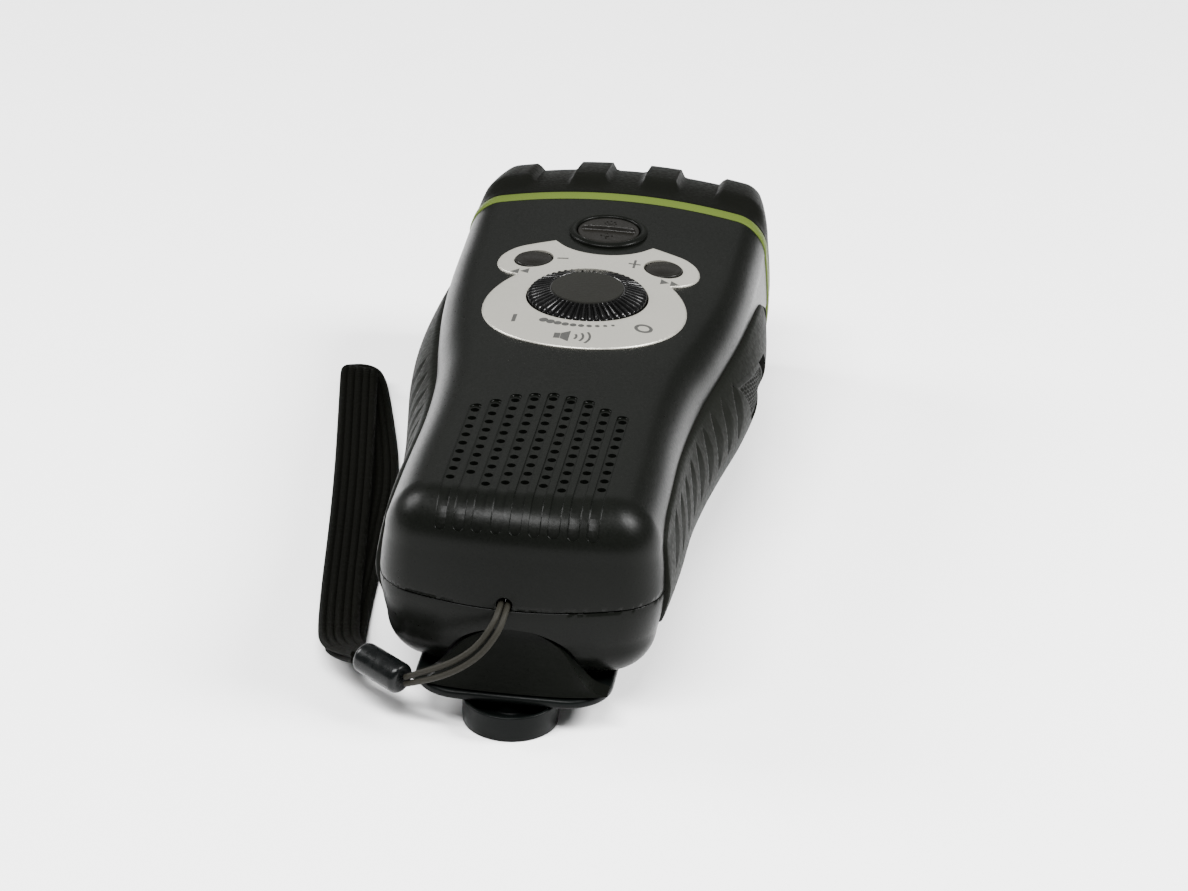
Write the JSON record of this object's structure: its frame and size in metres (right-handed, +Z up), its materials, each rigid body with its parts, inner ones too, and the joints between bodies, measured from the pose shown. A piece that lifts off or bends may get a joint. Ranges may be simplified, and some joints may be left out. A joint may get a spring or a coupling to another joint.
{
  "type": "wind-up torch radio",
  "caption": "Hand-held wind-up torch with a built-in scan radio: ribbed volume dial, push buttons, speaker grille, crank under the butt and a wrist strap.",
  "frame": {"origin": "centre of the object's footprint, on the surface that it lies on, without the wrist strap", "axes": "+Y along the torch towards its lamp head, +Z up through the control face, +X to the right seen from behind the butt"},
  "size_m": [0.1038, 0.1939, 0.0529],
  "materials": {
    "case_plastic": "soft-touch matt moulding",
    "grip_rubber": "matt moulded rubber",
    "guard_rubber": "matt moulded rubber",
    "trim_olive": "satin olive green moulding",
    "plate_silver": "satin silver with a bright edge",
    "dial_black": "gloss black with fine ribs and a matt cap",
    "button_black": "satin black moulding",
    "crank_plastic": "satin black moulding",
    "clamp_gloss": "gloss black",
    "strap_fabric": "woven black webbing and braid",
    "clear_lens": "clear polished",
    "reflector_chrome": "vacuum-plated mirror",
    "led_clear": "clear epoxy over a yellow die",
    "board_green": "solder mask",
    "component_black": "moulded",
    "speaker_steel": "painted",
    "speaker_paper": "pressed paper",
    "cell_steel": "plain can",
    "wrap_plastic": "heat-shrunk film",
    "gear_nylon": "natural nylon",
    "steel": "turned",
    "bush_brass": "sintered",
    "magnet": "sintered ferrite",
    "coil_copper": "enamelled copper wire on an iron core"
  },
  "bodies": {
    "case": {"front_shell": "case_plastic", "back_shell": "case_plastic", "side_grip_left": "grip_rubber", "side_grip_right": "grip_rubber", "head_guard": "guard_rubber", "trim_ring": "trim_olive", "control_plate": "plate_silver", "lamp_button_ring": "button_black", "strap_clamp": "clamp_gloss", "strap_webbing": "strap_fabric", "strap_cord_upper": "strap_fabric", "strap_cord_lower": "strap_fabric", "lens": "clear_lens", "reflector": "reflector_chrome", "lamp_leds": "led_clear", "main_board": "board_green", "lamp_board": "board_green", "board_parts": "component_black", "button_switches": "component_black", "volume_control": "component_black", "jack_socket": "component_black", "speaker_frame": "speaker_steel", "speaker_cone": "speaker_paper", "battery_cells": "cell_steel", "battery_wrap": "wrap_plastic", "gear_plate": "gear_nylon", "case_screws": "steel", "strap_pin": "steel", "idler_axle": "steel", "rotor_axle": "steel", "crank_bush": "bush_brass", "dynamo_coil": "coil_copper"},
    "crank": {"crank_shaft": "steel", "drive_gear": "gear_nylon", "crank_arm": "crank_plastic", "crank_screw": "steel", "knob_pin": "steel"},
    "knob": {"crank_knob": "crank_plastic"},
    "idler": {"idler_gear": "gear_nylon"},
    "rotor": {"dynamo_rotor": "magnet"},
    "dial": {"volume_dial": "dial_black", "dial_shaft": "steel"},
    "scan_down": {"scan_down_button": "button_black"},
    "scan_up": {"scan_up_button": "button_black"},
    "lamp_switch": {"lamp_button": "button_black"},
    "jack_flap": {"jack_cover": "grip_rubber"}
  },
  "joints": [
    {"name": "crank_spin", "type": "hinge", "parent": "case", "child": "crank", "pos_m": [0, -0.0645, 0.008], "axis": [0, 0, 1], "continuous": true},
    {"name": "knob_spin", "type": "hinge", "parent": "crank", "child": "knob", "pos_m": [0, -0.08655, 0.003], "axis": [0, 0, 1], "continuous": true},
    {"name": "idler_spin", "type": "hinge", "parent": "case", "child": "idler", "pos_m": [0, -0.0465, 0.015], "axis": [0, 0, 1], "continuous": true},
    {"name": "rotor_spin", "type": "hinge", "parent": "case", "child": "rotor", "pos_m": [-0.009, -0.0345, 0.02], "axis": [0, 0, 1], "continuous": true},
    {"name": "volume_turn", "type": "hinge", "parent": "case", "child": "dial", "pos_m": [0, 0.01875, 0.05], "axis": [0, 0, -1], "range_deg": [0, 270]},
    {"name": "scan_down_press", "type": "slide", "parent": "case", "child": "scan_down", "axis": [0, 0, -1], "range_m": [0, 0.0008], "stiffness_N_per_m": 400},
    {"name": "scan_up_press", "type": "slide", "parent": "case", "child": "scan_up", "axis": [0, 0, -1], "range_m": [0, 0.0008], "stiffness_N_per_m": 400},
    {"name": "lamp_press", "type": "slide", "parent": "case", "child": "lamp_switch", "axis": [0, 0, -1], "range_m": [0, 0.0008], "stiffness_N_per_m": 400},
    {"name": "jack_flap_open", "type": "hinge", "parent": "case", "child": "jack_flap", "pos_m": [0.0384, 0.04, 0.02475], "axis": [0, -0.5391, 0.8422], "range_deg": [0, 100], "stiffness_Nm_per_rad": 0.003}
  ],
  "couplings": [
    {"joint": "idler_spin", "follows": "crank_spin", "ratio": -5},
    {"joint": "rotor_spin", "follows": "crank_spin", "ratio": 20}
  ]
}
